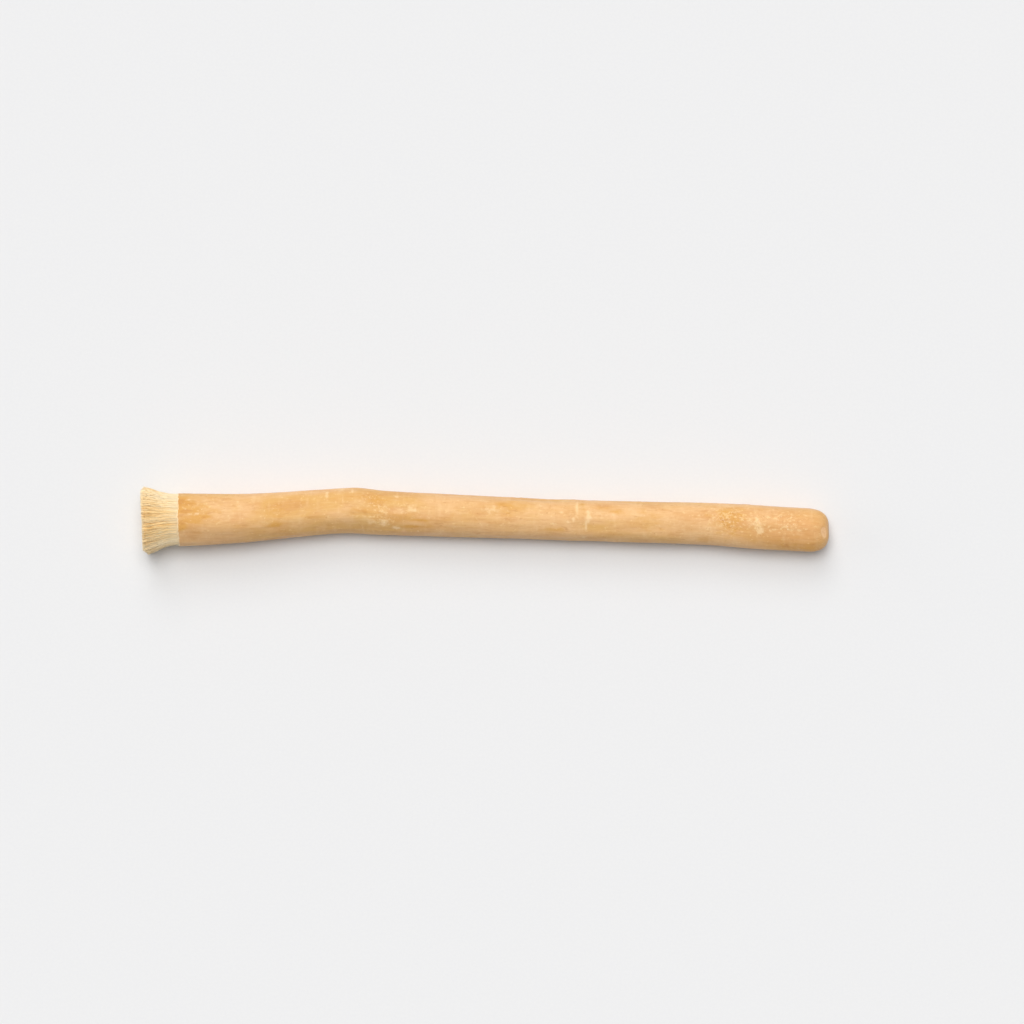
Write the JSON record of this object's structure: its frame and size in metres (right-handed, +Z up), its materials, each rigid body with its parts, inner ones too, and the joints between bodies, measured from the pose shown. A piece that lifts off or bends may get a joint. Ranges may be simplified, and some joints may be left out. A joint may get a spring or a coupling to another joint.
{
  "type": "miswak stick",
  "caption": "Length of root with its bark on, gently bent, one end stripped and worked out into a fanned brush of its own fibres, the other end cut and rounded.",
  "frame": {"origin": "on the surface that the stick lies on, under the middle of its bounding box", "axes": "+X along the stick from the brush to the plain end, +Z up"},
  "size_m": [0.1502, 0.0148, 0.014],
  "materials": {
    "bark": "dried root bark, honey tan, smooth and dull with a faint sheen, paler flecks and bands",
    "fibre": "bare root fibre, cream, dry and matt"
  },
  "bodies": {
    "root": {"stick": "bark"}
  },
  "joints": []
}
